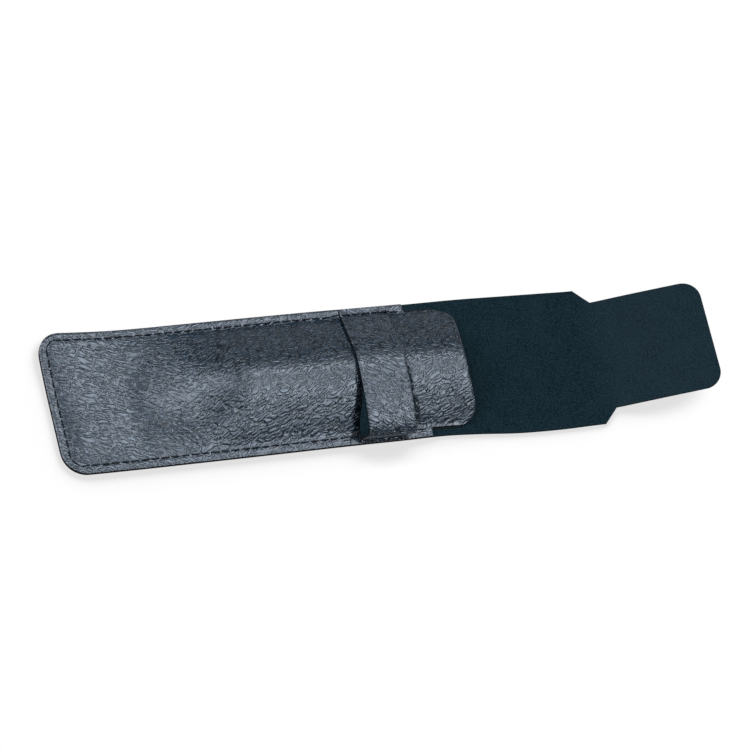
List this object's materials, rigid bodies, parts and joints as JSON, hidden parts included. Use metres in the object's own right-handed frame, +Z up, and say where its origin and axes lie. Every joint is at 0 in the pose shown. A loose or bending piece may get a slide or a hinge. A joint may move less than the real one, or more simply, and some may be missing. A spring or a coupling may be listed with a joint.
{
  "type": "single pen sleeve",
  "caption": "Sewn leatherette pen sleeve with a suede-lined pocket, a loose cross strap and a fold-over flap that ends in a tuck-in tongue, shown open.",
  "frame": {"origin": "on the underside of the back, on the centre line, at the middle of the sewn pocket", "axes": "+X from the sewn closed end towards the flap and its tongue, +Y across the sleeve, +Z up out of the front"},
  "size_m": [0.2158, 0.047, 0.0142],
  "materials": {
    "cover": "grained",
    "lining": "suede",
    "thread": "matt"
  },
  "bodies": {
    "sleeve": {"back_cover": "cover", "back_lining": "lining", "front_cover": "cover", "front_lining": "lining", "strap_cover": "cover", "strap_lining": "lining", "front_stitching": "thread", "back_stitching": "thread"},
    "flap": {"flap_cover": "cover", "flap_lining": "lining"},
    "tongue": {"tongue_cover": "cover", "tongue_lining": "lining"}
  },
  "joints": [
    {"name": "flap_fold", "type": "hinge", "parent": "sleeve", "child": "flap", "pos_m": [0.094, 0, 0.0028], "axis": [0, -1, 0], "range_deg": [0, 155]},
    {"name": "tongue_crease", "type": "hinge", "parent": "flap", "child": "tongue", "pos_m": [0.1175, 0, 0.0008], "axis": [0, -1, 0], "range_deg": [-14, 10]}
  ]
}
